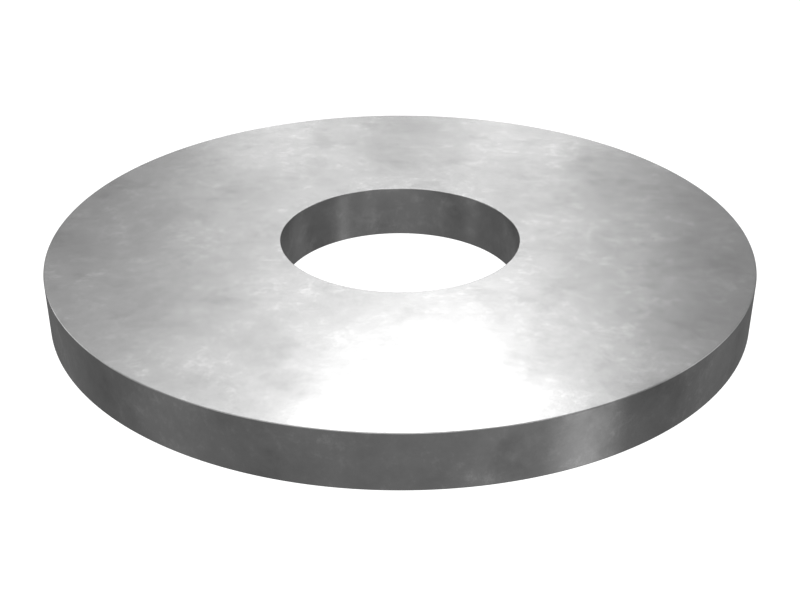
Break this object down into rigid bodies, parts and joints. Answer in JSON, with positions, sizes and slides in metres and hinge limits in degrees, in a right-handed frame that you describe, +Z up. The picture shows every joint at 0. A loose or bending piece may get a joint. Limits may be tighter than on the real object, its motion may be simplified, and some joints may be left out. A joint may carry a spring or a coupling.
{
  "type": "flat washer",
  "caption": "Plain flat steel washer: a thin round disc with a central round hole, flat parallel faces and a clouded grey zinc finish.",
  "frame": {"origin": "centre of the hole on the lower bearing face, which is also the bottom centre of the box", "axes": "+Z up along the hole's axis, from the lower bearing face to the upper one; X and Y lie in the lower face and are alike, because the washer is round"},
  "size_m": [0.0254, 0.0254, 0.002],
  "materials": {
    "zinc_plated_steel": "satin zinc plating with faint clouding"
  },
  "bodies": {
    "root": {"flat_washer": "zinc_plated_steel"}
  },
  "joints": []
}
